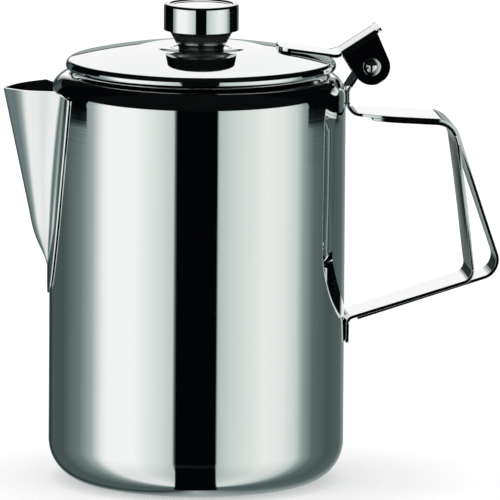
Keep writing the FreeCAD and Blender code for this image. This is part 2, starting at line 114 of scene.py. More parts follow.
# %% Mirror-polished stainless steel
# Pressed 18/8 sheet, buffed with a mop and fine compound. The eye gets an almost perfect mirror, slightly
# hazy in patches, with hair lines that only show where a reflection ends.
haze_patch, hair_length, hair_gap, swell_width = 24.0, 60.0, 0.7, 30.0
haze_least, haze_most = 0.12, 0.45


def polished_steel(name, colour, smooth, hazy, ripple):
    """Buffed stainless sheet; smooth and hazy bound its roughness, ripple is its waviness in mm."""
    made, tree = new_material(name)
    place = node(tree, "ShaderNodeTexCoord", {}).outputs["Object"]
    haze = node(tree, "ShaderNodeTexNoise", {"Vector": place, "Scale": per(haze_patch), "Detail": 4.0})
    # Real hair lines are a few hundredths of a millimetre apart; hair_gap is the finest that shows here.
    stretch = node(tree, "ShaderNodeMapping", {
        "Vector": place, "Scale": (per(hair_length), per(hair_length), per(hair_gap))})
    hair = node(tree, "ShaderNodeTexNoise", {"Vector": stretch.outputs[0], "Scale": 1.0, "Detail": 2.0})
    mixed = node(tree, "ShaderNodeMath", {0: haze.outputs[0], 1: hair.outputs[0]}, operation="MULTIPLY")
    rough = node(tree, "ShaderNodeMapRange", {
        "Value": mixed.outputs[0], "From Min": haze_least, "From Max": haze_most,
        "To Min": smooth, "To Max": hazy})
    swell = node(tree, "ShaderNodeTexNoise", {"Vector": place, "Scale": per(swell_width), "Detail": 1.0})
    bump = node(tree, "ShaderNodeBump", {
        "Height": swell.outputs[0], "Strength": 1.0, "Distance": ripple * MM})
    steel = node(tree, "ShaderNodeBsdfPrincipled", {
        "Base Color": linear(colour), "Metallic": 1.0,
        "Roughness": rough.outputs[0], "Normal": bump.outputs[0]})
    node(tree, "ShaderNodeOutputMaterial", {"Surface": steel.outputs[0]})
    return made


print("haze in patches of", haze_patch, "mm, hair lines", hair_gap, "mm apart")

# %% Outside and inside of the sheet
mirror_steel = polished_steel(
    "mirror_polished_stainless_steel", "#f1f3f2", smooth=0.015, hazy=0.05, ripple=0.012)
satin_steel = polished_steel(
    "satin_stainless_steel", "#c9c8c4", smooth=0.18, hazy=0.3, ripple=0.012)
print("made", mirror_steel.name, "and", satin_steel.name)

# %% Bright-turned stainless steel
# The small parts come off a lathe from bar. The tool leaves fine rings, which spread each highlight into
# a fan.
ring_depth = 0.004
wave_turn = 2 * math.pi / 20  # the Wave texture turns by 20 radians in one unit


def turned_steel(name, colour, hazy, ring_width, axis_x, axis_z, direction):
    """Stainless bar turned on a lathe, with tool rings about the given axis; hazy is its most roughness."""
    made, tree = new_material(name)
    place = node(tree, "ShaderNodeTexCoord", {}).outputs["Object"]
    axis = (axis_x * MM, 0, axis_z * MM)
    centred = node(tree, "ShaderNodeVectorMath", {0: place, 1: axis}, operation="SUBTRACT")
    # Real tool marks are under 0.1 mm apart; these are drawn wider so that they show.
    rings = node(tree, "ShaderNodeTexWave", {
        "Vector": centred.outputs[0], "Scale": per(ring_width) * wave_turn,
        "Distortion": 0.6, "Detail": 2.0}, wave_type="RINGS", rings_direction=direction)
    rough = node(tree, "ShaderNodeMapRange", {
        "Value": rings.outputs[0], "To Min": hazy / 2, "To Max": hazy})
    bump = node(tree, "ShaderNodeBump", {
        "Height": rings.outputs[0], "Strength": 0.25, "Distance": ring_depth * MM})
    steel = node(tree, "ShaderNodeBsdfPrincipled", {
        "Base Color": linear(colour), "Metallic": 1.0,
        "Roughness": rough.outputs[0], "Normal": bump.outputs[0]})
    node(tree, "ShaderNodeOutputMaterial", {"Surface": steel.outputs[0]})
    return made


print("tool rings", ring_depth, "mm deep")

# %% Knob and rivet steel
pin_low, pin_high = size_of("hinge_rivet")
pin = Vector(((pin_low.x + pin_high.x) / 2, (pin_low.z + pin_high.z) / 2))
lid_low, lid_high = size_of("lid_shell")
lid_axis = (lid_low.x + lid_high.x) / 2
knob_steel = turned_steel(
    "bright_turned_stainless_knob", "#d9dbda", hazy=0.3, ring_width=3.14,
    axis_x=lid_axis, axis_z=0, direction="Z")
pin_steel = turned_steel(
    "bright_turned_stainless_rivet", "#e3e5e4", hazy=0.14, ring_width=2.51,
    axis_x=pin.x, axis_z=pin.y, direction="Y")
print("hinge pin at", tuple(round(v, 2) for v in pin), "lid axis at x", round(lid_axis, 2))

# %% [markdown]
# ## Lines, bends and grids
# Sheet-metal work is a line that is bent, turned or swept. One helper rounds the corners of a line with
# tangent arcs, as a press brake does, and another joins rows of points into faces. Curves and bevelled
# profiles could give the same shapes, but plain rows keep the faces square to the reflections, which a
# mirror finish needs.

# %% Helpers for lines


def run(start, end, parts):
    """Points that divide a straight run into equal parts, without its end."""
    return [start.lerp(end, n / parts) for n in range(parts)]


def rounded(corners, radii, steps=12, parts=1):
    """Points along straight runs whose inner corners are rounded by tangent arcs."""
    points = []
    last = corners[0]
    for before, corner, after, radius in zip(corners, corners[1:], corners[2:], radii):
        back, on = (before - corner).normalized(), (after - corner).normalized()
        half = back.angle(on) / 2
        centre = corner + (back + on).normalized() * (radius / math.sin(half))
        enter = corner + back * (radius / math.tan(half))
        leave = corner + on * (radius / math.tan(half))
        points += run(last, enter, parts)
        turn = math.pi - 2 * half
        for n in range(steps):
            near, far = math.sin(turn * (1 - n / steps)), math.sin(turn * n / steps)
            points.append(centre + ((enter - centre) * near + (leave - centre) * far) / math.sin(turn))
        last = leave
    return points + run(last, corners[-1], parts) + [corners[-1]]


square_bend = rounded([Vector((0, 0)), Vector((10, 0)), Vector((10, 10))], [4])
print("a square bend is drawn with", len(square_bend), "points")

# %% Helpers for meshes
same_place = 0.001  # points closer than this, in millimetres, are one


def turned(profile, around, place=Matrix()):
    """Rings of points: a drawing of (radius, height) turned about the Z axis, then put in its place."""
    turns = [2 * math.pi * n / around for n in range(around)]
    return [[place @ Vector((p.x * math.cos(a), p.x * math.sin(a), p.y)) for a in turns] for p in profile]


def piece(name, grids, closed=False, ends=False):
    """A smooth mesh from grids of points in millimetres, each row joined to the next."""
    mesh = bmesh.new()
    for rows in grids:
        made = [[mesh.verts.new(Vector(point) * MM) for point in row] for row in rows]
        for one, two in zip(made, made[1:]):
            for n in range(len(one) - (0 if closed else 1)):
                m = (n + 1) % len(one)
                mesh.faces.new((one[n], one[m], two[m], two[n]))
        if ends:
            mesh.faces.new(reversed(made[0]))
            mesh.faces.new(made[-1])
    bmesh.ops.remove_doubles(mesh, verts=mesh.verts, dist=same_place * MM)
    for face in mesh.faces:
        face.smooth = True
    made_mesh = bpy.data.meshes.new(name)
    mesh.to_mesh(made_mesh)
    mesh.free()
    made_object = bpy.data.objects.new(name, made_mesh)
    bpy.context.collection.objects.link(made_object)
    return made_object


print("points within", same_place, "mm are joined")

# %% Helper that puts a piece in its place


def settle(made, body, cad_node):
    """Puts a piece in place of a CAD node and on that node's body."""
    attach(made, body)
    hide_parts(cad_node)
    print(made.name, "stands for", cad_node, "with", len(made.data.polygons), "drawn faces")


print("nodes to draw:", ", ".join(sorted(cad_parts)))

# %% [markdown]
# ## The body
# The body is one cup, drawn from a disc and pulled in at the shoulder. The Screw modifier could spin its
# profile, but here the rings are turned in code, because the same few lines also make the lid, the knob and
# the rivet. The Solidify modifier gives the sheet its thickness inwards, and a Boolean punches the pouring
# hole behind the spout. The inside was never buffed, so it takes the satin finish as its second material.

# %% Body
body_high = size_of("body_shell")[1]
body_radius, body_height = body_high.y, body_high.z
body_wall = 0.8
base_corner_radius = 15.5
shoulder_radius = 9.0
mouth_radius = 45.0
mouth_lip_depth = 3.5
mouth_lip_radius = 1.6
body_line = rounded([
    Vector((0, 0)),
    Vector((body_radius, 0)),
    Vector((body_radius, body_height)),
    Vector((mouth_radius, body_height)),
    Vector((mouth_radius, body_height - mouth_lip_depth)),
], [base_corner_radius, shoulder_radius, mouth_lip_radius], steps=20, parts=16)
pot_body = piece("pot_body", [turned(body_line, 192)], closed=True)
pot_body.data.materials.append(mirror_steel)
pot_body.data.materials.append(satin_steel)
print("body", round(2 * body_radius, 1), "mm wide and", round(body_height, 1), "mm high")

# %% Punch for the pouring hole
hole_top, hole_bottom = 142.0, 100.0
hole_wide, hole_narrow = 11.0, 3.0
hole_corner = 2.0
hole_line = rounded([
    Vector((0, hole_top)),
    Vector((hole_wide, hole_top)),
    Vector((hole_narrow, hole_bottom)),
    Vector((-hole_narrow, hole_bottom)),
    Vector((-hole_wide, hole_top)),
    Vector((0, hole_top)),
], [hole_corner] * 4)[:-1]
punch_rows = [[(x, p.x, p.y) for p in hole_line] for x in (-body_radius * 1.2, -body_radius / 2)]
punch = piece("hole_punch", [punch_rows], closed=True, ends=True)
print("the hole is", hole_top - hole_bottom, "mm high")

# %% Body sheet and pouring hole
shell = pot_body.modifiers.new("sheet thickness", "SOLIDIFY")
shell.thickness = body_wall * MM
shell.offset = -1
shell.material_offset = 1
hole = pot_body.modifiers.new("pouring hole", "BOOLEAN")
hole.object = punch
hole.operation = "DIFFERENCE"
bpy.context.view_layer.objects.active = pot_body
bpy.ops.object.modifier_apply(modifier=shell.name)
bpy.ops.object.modifier_apply(modifier=hole.name)
bpy.data.objects.remove(punch)
pot_body.modifiers.new("even shading", "WEIGHTED_NORMAL")
settle(pot_body, "pot", "body_shell")

# %% [markdown]
# ## The spout
# The spout was pressed from one sheet: a trough with a rounded nose and bowed flanks, and round it a flange
# that lies on the body and is welded there along its edge. It could be lofted from a few curves, but a
# mirror shows every seam of a loft. So the mesh is a grid whose columns climb from the foot to the rim.
# Each point takes the larger of two reaches, trough or flange, with a soft hollow where they cross, as the
# press leaves it.

# %% Spout sizes
spout_wall = 0.9
weld_gap = 0.02
spout_rim_height, spout_foot_height = 150.6, 72.0
flange_half_width, flange_power = 24.0, 0.48
trough_length, trough_share = 73.0, 0.8
keel_slope, knee_slope = 0.202, 0.52
knee_low, knee_high, knee_blend = 83.0, 95.0, 5.0
spout_crest, spout_sink = 0.3, 0.6
nose_radius, nose_share = 3.6, 0.5
flank_bow, flank_share = 0.14, 0.47
hollow, hollow_share = 4.0, 0.4
rim_rise, ear_drop, ear_length = 0.6, 2.2, 6.0
flange_reach = body_radius + spout_wall
print("the spout climbs from", spout_foot_height, "to", spout_rim_height, "mm")

# %% Keel and widths


def soft_ramp(height, start, blend):
    """Zero below start and rising one for one above it, with a smooth change between."""
    past_start = height - start
    if abs(past_start) > blend:
        return max(past_start, 0.0)
    return (past_start + blend) ** 2 / (4 * blend)


def keel_reach(height):
    """How far the spout's keel stands from the pot's axis."""
    knee = knee_slope * soft_ramp(height, knee_low, knee_blend)
    upper = (keel_slope - knee_slope) * soft_ramp(height, knee_high, knee_blend)
    return flange_reach + spout_crest + knee + upper


def spout_half_widths(height):
    """Half the width of the trough and half the width of the flange at one height."""
    keel = keel_reach(height)
    half = trough_share * (keel - math.sqrt(2 * flange_reach ** 2 - keel ** 2)) / 2
    rise = (height - spout_foot_height) / (spout_rim_height - spout_foot_height)
    return half, flange_half_width * rise ** flange_power


print("the keel stands", round(keel_reach(spout_rim_height), 1), "mm from the axis at the rim")

# %% Trough outline


def trough_line(height):
    """The trough's outside at one height, as points (across, outwards) from the nose to the fold."""
    half = spout_half_widths(height)[0]
    sunk = spout_sink * (spout_rim_height - height) / trough_length
    nose = Vector((0, keel_reach(height) - sunk))
    fold = Vector((half, math.sqrt(flange_reach ** 2 - half ** 2) - sunk))
    flank = fold - nose
    middle = nose + flank / 2 + Vector((-flank.y, flank.x)) * flank_bow
    half_turn = (middle - nose).angle(fold - middle) / 2
    bow = flank_share * (middle - nose).length / math.tan(half_turn)
    tip = min(nose_radius, nose_share * half)
    line = rounded([Vector((-middle.x, middle.y)), nose, middle, fold], [tip, bow], steps=16)
    return [point for point in line if point.x > -same_place]


print("the trough is", round(2 * spout_half_widths(spout_rim_height)[0], 1), "mm wide at the rim")

# %% Reach and rim


def spout_reach(across, height):
    """How far the spout's outside stands out at one place: the trough, the flange or the hollow between."""
    line = trough_line(height)
    for one, two in zip(line, line[1:]):
        if two.x >= across:
            break
    trough = one.y + (two.y - one.y) * (across - one.x) / (two.x - one.x)
    flange = math.sqrt(flange_reach ** 2 - across ** 2)
    soft = min(hollow, hollow_share * spout_half_widths(height)[0])
    near = max(soft - abs(trough - flange), 0.0)
    return max(trough, flange) + near ** 2 / (4 * soft)


def rim_height_at(x):
    """The rim's height over a place along the spout: it rises towards the body and dips at the flange."""
    front = -keel_reach(spout_rim_height) - spout_wall
    corner = -math.sqrt(body_radius ** 2 - flange_half_width ** 2)
    ear = corner - ear_length
    if x < ear:
        return spout_rim_height + rim_rise * (x - front) / (ear - front)
    dip = min((x - ear) / ear_length, 1.0)
    return spout_rim_height + rim_rise - (rim_rise + ear_drop) * dip


print("the flange is", round(2 * flange_half_width, 1), "mm wide at the rim")

# %% Sheet thickness
pressed_edge, sharp_fold = 0.2, 40


def sheet(made, thickness, side, soft_edge):
    """Gives a surface its sheet thickness (side -1 inwards, 0 both ways) and broken edges."""
    solid = made.modifiers.new("sheet thickness", "SOLIDIFY")
    solid.thickness = thickness * MM
    solid.offset = side
    solid.use_even_offset = True
    edge = made.modifiers.new("broken edges", "BEVEL")
    edge.width = soft_edge * MM
    edge.segments = 3
    edge.limit_method = "ANGLE"
    edge.angle_limit = math.radians(sharp_fold)
    made.modifiers.new("even shading", "WEIGHTED_NORMAL")


print("pressed edges are broken over", pressed_edge, "mm")

# %% Spout columns
trough_columns, flange_columns, edge_columns, spout_rows = 36, 16, 6, 64
nose_crowding, trough_most = 1.2, 0.8
edge_round, rim_tries = 0.6, 6


def spout_point(column, height):
    """One point of the grid; columns count outwards over the trough, the flange and its rounded edge."""
    half, edge = spout_half_widths(height)
    half = min(half, trough_most * edge)
    bend = min(edge_round, edge - half)
    past_fold = abs(column) - trough_columns
    past_flange = past_fold - flange_columns
    turn = math.pi / 2 * max(past_flange, 0) / edge_columns
    if past_fold <= 0:
        across = half * (abs(column) / trough_columns) ** nose_crowding
    elif past_flange <= 0:
        across = half + (edge - bend - half) * past_fold / flange_columns
    else:
        across = edge - bend + bend * math.sin(turn)
    reach = spout_reach(across, height) - bend * (1 - math.cos(turn))
    return Vector((-reach, math.copysign(across, column), height))


def column_top(column):
    """The height at which one column meets the rim, found by a few tries."""
    top = spout_rim_height
    for _ in range(rim_tries):
        top = rim_height_at(spout_point(column, top).x)
    return top


last_column = trough_columns + flange_columns + edge_columns
columns = range(last_column, -last_column - 1, -1)
tops = {column: column_top(abs(column)) for column in columns}
print("the rim lies between", round(min(tops.values()), 1), "and", round(max(tops.values()), 1), "mm")

# %% Spout mesh
spout_grid = []
for row in range(spout_rows + 1):
    t = row / spout_rows
    climb = t * t * (3 - 2 * t)
    spout_grid.append([
        spout_point(column, spout_foot_height + (tops[column] - spout_foot_height) * climb)
        for column in columns])
pour_spout = piece("pour_spout", [spout_grid])
pour_spout.data.materials.append(mirror_steel)
sheet(pour_spout, spout_wall - weld_gap, -1, pressed_edge)
settle(pour_spout, "pot", "spout")

# %% [markdown]
# ## The handle
# The handle is two straps bent on a press brake and welded together, so that the hand holds a hollow, cool
# grip. A curve with a flat bevel could stand for a strap, but its width is hard to change along the way. So
# a strap is a line in the middle plane swept sideways: every point of the line becomes a row across the
# strap, with the width that the strap has there. The outer strap ends in a curl round the hinge rivet.

# %% Handle sizes
strap_wall, strap_edge = 1.2, 0.12
grip_width = 27.0
inner_widths, outer_widths = (17.0, 27.5), (18.5, 17.0)
middle_height = 96.0
run_width, run_reach = 25.0, 12.8
tongue_width = 14.0
tongue_foot_height, tongue_bend = 149.5, 3.0
top_height, top_bend, top_slope, top_length = 140.6, 4.0, 3.5, 39.6
handle_shoulder = 9.0
outer_lean, inner_lean = 18.5, 7.4
parting_length, parting_bend = 7.4, 10.0
outer_heel, inner_heel = 7.0, 4.6
foot_height, foot_slope, foot_bend, flange_length = 62.4, 17.2, 2.6, 9.6
top_lap, foot_lap = 9.0, 3.7
camber_radius, camber_run = 290.0, 14.0
pin_radius, pin_play = 1.6, 0.05
curl_radius = pin_radius + pin_play + strap_wall / 2
curl_turn = 275
print("straps", strap_wall, "mm thick, curled over a", 2 * pin_radius, "mm rivet")

# %% Handle corners


def heading(degrees):
    """A unit direction in a flat drawing, measured up from its first axis."""
    return Vector((math.cos(math.radians(degrees)), math.sin(math.radians(degrees))))


def meet(start, angle, other, other_angle):
    """Where two lines of a drawing cross."""
    along, across = heading(angle), heading(other_angle + 90)
    return start + along * ((other - start).dot(across) / along.dot(across))


tab = Vector((body_radius + weld_gap + strap_wall / 2, top_height))
shoulder = tab + heading(-top_slope) * top_length
foot = Vector((tab.x, foot_height))
outer_foot = foot - heading(foot_slope + 90) * strap_wall
heel = meet(shoulder, outer_lean - 90, outer_foot, foot_slope)
lap = tab + heading(-top_slope - 90) * strap_wall
inner_shoulder = meet(lap, -top_slope, shoulder - heading(outer_lean) * strap_wall, outer_lean - 90)
parting = inner_shoulder + heading(outer_lean - 90) * parting_length
inner_foot = meet(parting, inner_lean - 90, foot, foot_slope)
print("shoulder", tuple(round(v, 1) for v in shoulder), "heel", tuple(round(v, 1) for v in heel))

# %% Strap widths


def bowed(at, points):
    """The height at a place on the circle through three points."""
    one, two, three = points
    turns = [math.degrees(math.atan2(v.y, v.x)) + 90 for v in (two - one, three - two)]
    centre = meet((one + two) / 2, turns[0], (two + three) / 2, turns[1])
    rise = math.sqrt((one - centre).length_squared - (at - centre.x) ** 2)
    return centre.y + math.copysign(rise, one.y - centre.y)


def strap_half_width(point, foot_width, middle_width):
    """Half a strap's width: it narrows to the foot below, and to the hinge tongue on top."""
    if point.y > top_height + top_bend:
        return tongue_width / 2
    half = bowed(point.y, [
        Vector((foot_height - flange_length, foot_width / 2)),
        Vector((middle_height, middle_width / 2)),
        Vector((top_height + strap_wall, grip_width / 2))])
    if point.y > (top_height + foot_height) / 2 and point.x < shoulder.x:
        half = min(half, bowed(point.x, [
            Vector((tab.x - strap_wall, tongue_width / 2)),
            Vector((tab.x + run_reach, run_width / 2)),
            Vector((shoulder.x, grip_width / 2))]))
    return min(half, grip_width / 2)


print("the outer strap is", round(2 * strap_half_width(heel, *outer_widths), 1), "mm wide at the heel")

# %% Strap sweep


def swept(path, half_width, camber=None, across=9):
    """Rows across a strap, one for each point of its line in the middle plane, curved by the camber."""
    rows = []
    for n, point in enumerate(path):
        along = (path[min(n + 1, len(path) - 1)] - path[max(n - 1, 0)]).normalized()
        half, curve = half_width(point), camber(point) if camber else 0.0
        row = []
        for y in (half * (2 * k / (across - 1) - 1) for k in range(across)):
            lift = curve * (half ** 2 / 3 - y ** 2) / 2
            row.append((point.x - along.y * lift, y, point.y + along.x * lift))
        rows.append(row)
    return rows


def grip_camber(point):
    """The crosswise curve of the grips, which dies out where the two straps lie on each other."""
    room = min(parting.y - point.y, point.y - heel.y - outer_heel)
    return min(max(room / camber_run, 0.0), 1.0) / camber_radius


print("the grips are curved crosswise over a radius of", camber_radius, "mm")

# %% Outer strap


def arc(centre, radius, start, end, steps):
    """Points on an arc of a drawing, from one angle to another in degrees."""
    return [centre + heading(start + (end - start) * n / steps) * radius for n in range(steps + 1)]


def tangent_point(start, centre, radius, side):
    """Where a line from start just touches a circle, on the side asked for."""
    gap = centre - start
    swing = math.degrees(math.acos(radius / gap.length))
    back = math.degrees(math.atan2(-gap.y, -gap.x))
    return centre + heading(back + side * swing) * radius


tongue = Vector((tab.x, tongue_foot_height))
curl_leave = tangent_point(tongue, pin, curl_radius, -1) - pin
touch = math.degrees(math.atan2(curl_leave.y, curl_leave.x))
curl = arc(pin, curl_radius, touch - curl_turn, touch, 40)
outer_end = outer_foot + heading(foot_slope) * foot_lap
outer_line = curl[:-1] + rounded(
    [curl[-1], tongue, tab, shoulder, heel, outer_end],
    [tongue_bend, top_bend, handle_shoulder, outer_heel], steps=16, parts=14)
outer_rows = swept(outer_line, lambda p: strap_half_width(p, *outer_widths), grip_camber)
handle_outer = piece("handle_outer", [outer_rows])
handle_outer.data.materials.append(mirror_steel)
sheet(handle_outer, strap_wall, 0, strap_edge)
settle(handle_outer, "pot", "handle_outer_strap")

# %% Inner strap
inner_start = lap + heading(-top_slope) * top_lap
flange_end = foot - Vector((0, flange_length))
inner_line = rounded(
    [inner_start, inner_shoulder, parting, inner_foot, foot, flange_end],
    [handle_shoulder - strap_wall, parting_bend, inner_heel, foot_bend], steps=16, parts=14)
inner_rows = swept(inner_line, lambda p: strap_half_width(p, *inner_widths), lambda p: -grip_camber(p))
handle_inner = piece("handle_inner", [inner_rows])
handle_inner.data.materials.append(mirror_steel)
sheet(handle_inner, strap_wall, 0, strap_edge)
settle(handle_inner, "pot", "handle_inner_strap")

# %% [markdown]
# ## The lid
# The lid is a shallow pressed crown with its edge rolled under, level in the middle with a small step for
# the knob. A flattened sphere could stand for the crown, but it would have no roll and no step. So the lid
# is turned like the body, from the rolled edge over the crown to the axis, with its faces outwards. The
# roll is an arc that touches the crown, because a mirror shows every place where a curve breaks.

# %% Lid sizes
lid_wall = 0.8
lid_radius = lid_high.y
crown_radius = 207.0
edge_radius, edge_roll, edge_shown = 2.4, 45.0, 24.0
seat_depth, seat_flat = 2.0, 10.8
level_start, level_end, seat_step = 24.0, 11.4, 0.4
# The edge rolls under by edge_roll; the hidden end of the roll, past edge_shown, isn't drawn.
edge_height = lid_low.z + edge_radius * math.sin(math.radians(edge_roll))
edge_centre = Vector((lid_radius - edge_radius, edge_height))
crown_drop = math.sqrt((crown_radius - edge_radius) ** 2 - edge_centre.x ** 2)
crown_centre = Vector((0, edge_centre.y - crown_drop))
seat_height = crown_centre.y + crown_radius - seat_depth
edge_angle = 90 - math.degrees(math.asin(edge_centre.x / (crown_radius - edge_radius)))
lip_angle = 90 - math.degrees(math.asin(level_start / crown_radius))
lip = crown_centre + heading(lip_angle) * crown_radius
on_lid = Matrix.Translation((lid_axis, 0, 0))
print("the knob's seat is", round(seat_height, 2), "mm above the table")

# %% Lid mesh


def eased(start, end, start_slope, steps):
    """A smooth line from a sloping start to a level end."""
    points = []
    for n in range(1, steps + 1):
        t = n / steps
        bend = (2 * t ** 3 - 3 * t ** 2 + 1) * start.y + (3 * t ** 2 - 2 * t ** 3) * end.y
        bend += (t ** 3 - 2 * t ** 2 + t) * start_slope * (end.x - start.x)
        points.append(Vector((start.x + (end.x - start.x) * t, bend)))
    return points


lid_line = arc(edge_centre, edge_radius, -edge_shown, edge_angle, 20)
lid_line += arc(crown_centre, crown_radius, edge_angle, lip_angle, 30)[1:]
crown_slope = -1 / math.tan(math.radians(lip_angle))
lid_line += eased(lip, Vector((level_end, seat_height + seat_step)), crown_slope, 20)
seat_corners = [lid_line.pop(), Vector((seat_flat, seat_height)), Vector((0, seat_height))]
lid_line += rounded(seat_corners, [seat_step / 2], steps=6)
lid_cover = piece("lid_cover", [turned(lid_line, 192, on_lid)], closed=True)
lid_cover.data.materials.append(mirror_steel)
sheet(lid_cover, lid_wall, -1, pressed_edge)
settle(lid_cover, "lid", "lid_shell")

# %% [markdown]
# ## The knob
# A turned cone carries a pressed cap with a dished top, and a screw from inside the lid holds both. Both
# could be cylinders with bevels, but a turned outline gives the small radii that catch the light, so they
# are made like the lid. The screw and its washer hide under the lid and are plain enough to stay as they
# came from the CAD model.

# %% Knob sizes
stem_foot, stem_neck = 8.5, 12.3
stem_height, stem_head = 7.2, 6.4
stem_rounds = [0.4, 0.35, 0.3, 0.3]
cap_radius, cap_height, cap_wall = 14.2, 10.0, 0.8
cap_edge, dish_radius, dish_depth = 1.2, 12.2, 0.7
neck_height = seat_height + stem_height
cap_top = neck_height + cap_height
head_radius = cap_radius - cap_wall
print("the knob's top is", round(cap_top, 1), "mm above the table")

# %% Knob cone
stem_line = rounded([
    Vector((0, seat_height)),
    Vector((stem_foot, seat_height)),
    Vector((stem_neck, neck_height)),
    Vector((head_radius, neck_height)),
    Vector((head_radius, neck_height + stem_head)),
    Vector((0, neck_height + stem_head)),
], stem_rounds, steps=6, parts=3)
knob_cone = piece("knob_cone", [turned(stem_line, 96, on_lid)], closed=True)
knob_cone.data.materials.append(knob_steel)
settle(knob_cone, "lid", "knob_stem")

# %% Knob cap
cap_line = rounded([
    Vector((cap_radius, neck_height)),
    Vector((cap_radius, cap_top)),
    Vector((dish_radius, cap_top)),
    Vector((dish_radius - dish_depth, cap_top - dish_depth)),
    Vector((0, cap_top - dish_depth)),
], [cap_edge, dish_depth, 2 * dish_depth], steps=10, parts=6)
knob_top = piece("knob_top", [turned(cap_line, 128, on_lid)], closed=True)
knob_top.data.materials.append(mirror_steel)
sheet(knob_top, cap_wall, -1, pressed_edge)
settle(knob_top, "lid", "knob_cap")

# %% Screw and washer under the lid
sharp_edge = 30
for name in ("knob_screw", "knob_washer"):
    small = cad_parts[name]
    small.data.materials.clear()
    small.data.materials.append(knob_steel)
    split = small.modifiers.new("crisp edges", "EDGE_SPLIT")
    split.split_angle = math.radians(sharp_edge)
    print(name, "keeps its CAD shape")

# %% [markdown]
# ## The thumb lever and the hinge
# One folded plate lies on the lid, turns up for the thumb and folds down at both sides into two ears, which
# the rivet passes through. A box bent by modifiers would smear its edges at the folds, so the plate is
# swept like a strap. Each ear is a second strip that starts flat beside the plate, goes round the fold and
# ends in a half circle about the rivet. The rivet and its washers are turned outlines laid on their side.

# %% Lever sizes
lever_wall, lever_edge = 1.3, 0.14
lever_start, lever_bend_reach = 29.0, 52.6
lever_gap = 0.05
thumb_angle, thumb_length = 32.5, 19.6
lever_bend = 5.0
lever_corner, lever_tip = 4.0, 1.4
fold_radius, fold_lap = 2.3, 0.1
ear_radius, ear_flare = 7.0, 1.7
side_play = 0.4
lever_half = tongue_width / 2 + side_play + lever_wall
print("the lever is", 2 * lever_half, "mm wide")

# %% Lever corners


def shifted(corners, distance):
    """The same corners moved sideways, to the left of the way they run."""
    sides = [Vector((a.y - b.y, b.x - a.x)).normalized() for a, b in zip(corners, corners[1:])]
    moved = [corners[0] + sides[0] * distance]
    for corner, one, two in zip(corners[1:], sides, sides[1:]):
        between = (one + two).normalized()
        moved.append(corner + between * (distance / between.dot(one)))
    return moved + [corners[-1] + sides[-1] * distance]


crown_rise = math.sqrt((crown_radius + lever_gap) ** 2 - lever_start ** 2)
lever_low = Vector((lid_axis + lever_start, crown_centre.y + crown_rise))
seat_slope = -math.degrees(math.asin(lever_start / (crown_radius + lever_gap)))
lever_turn = meet(lever_low, seat_slope, Vector((lever_bend_reach, 0)), 90)
lever_end = lever_turn + heading(thumb_angle) * thumb_length
lever_corners = shifted([lever_low, lever_turn, lever_end], lever_wall / 2)
along, upward = heading(thumb_angle), heading(thumb_angle + 90)
pin_along = (pin - lever_corners[1]).dot(along)
pin_depth = -(pin - lever_corners[1]).dot(upward)
print("ears reach", round(pin_depth + ear_radius, 2), "mm below the thumb plate")

# %% Lever plate


def lever_half_width(point):
    """Half the plate's width: rounded at both ends, and let in beside the ears by the fold."""
    from_start = (point - lever_corners[0]).length
    from_end = (point - lever_corners[2]).length
    for distance, radius in ((from_start, lever_corner), (from_end, lever_tip)):
        if distance < radius:
            return lever_half - radius + math.sqrt(radius ** 2 - (radius - distance) ** 2)
    by_ear = -ear_radius < (point - lever_corners[1]).dot(along) - pin_along < ear_radius + ear_flare
    return lever_half - (fold_radius if by_ear and point.x > lever_bend_reach else 0)


def corner_rows(end, toward, radius, steps=12):
    """Places for rows round the corner of a plate, closest together where its side turns most."""
    step = (toward - end).normalized() * radius
    return [end + step * (1 - math.cos(math.pi / 2 * n / steps)) for n in range(steps + 1)]


lever_corner_rows = corner_rows(lever_corners[0], lever_corners[1], lever_corner)
tip_rows = corner_rows(lever_corners[2], lever_corners[1], lever_tip)
lever_bends = [lever_corner_rows[-1], lever_corners[1], tip_rows[-1]]
lever_line = lever_corner_rows[:-1]
lever_line += rounded(lever_bends, [lever_bend - lever_wall / 2], steps=16, parts=60)
lever_line += reversed(tip_rows[:-1])
print("the plate is drawn in", len(lever_line), "rows")

# %% Lever ears
ear_side, ear_steps = lever_half - lever_wall / 2, 16
fold_line = rounded([
    Vector((lever_half - fold_radius - fold_lap, 0)),
    Vector((ear_side, 0)),
    Vector((ear_side, -pin_depth)),
], [fold_radius - lever_wall / 2], steps=8, parts=3)
ear_turns = [math.pi / 2 * n / ear_steps for n in range(1, ear_steps + 1)]
round_end = [pin_depth + ear_radius * math.sin(turn) for turn in ear_turns]


def ear_reach(depth, flare):
    """How far one side of an ear is from the rivet along the plate, at a depth below the plate."""
    start = Vector((ear_radius + flare, 0))
    leave = tangent_point(start, Vector((0, pin_depth)), ear_radius, 1)
    if depth < leave.y:
        return start.lerp(leave, depth / leave.y).x
    return math.sqrt(max(ear_radius ** 2 - (depth - pin_depth) ** 2, 0.0))


def ear_row(across, depth):
    """The front and back points of an ear, at one place down its fold."""
    row = []
    for step in (-ear_reach(depth, 0), ear_reach(depth, ear_flare)):
        spot = lever_corners[1] + along * (pin_along + step) - upward * depth
        row.append((spot.x, across, spot.y))
    return row


print("an ear is drawn in", len(fold_line) + len(round_end), "rows")

# %% Lever mesh
lever_grids = [swept(lever_line, lever_half_width)]
for side in (-1, 1):
    rows = [ear_row(side * p.x, -p.y) for p in fold_line]
    lever_grids.append(rows + [ear_row(side * ear_side, depth) for depth in round_end])
thumb_lever = piece("thumb_lever", lever_grids)
thumb_lever.data.materials.append(mirror_steel)
sheet(thumb_lever, lever_wall, 0, lever_edge)
settle(thumb_lever, "lid", "lid_lever")

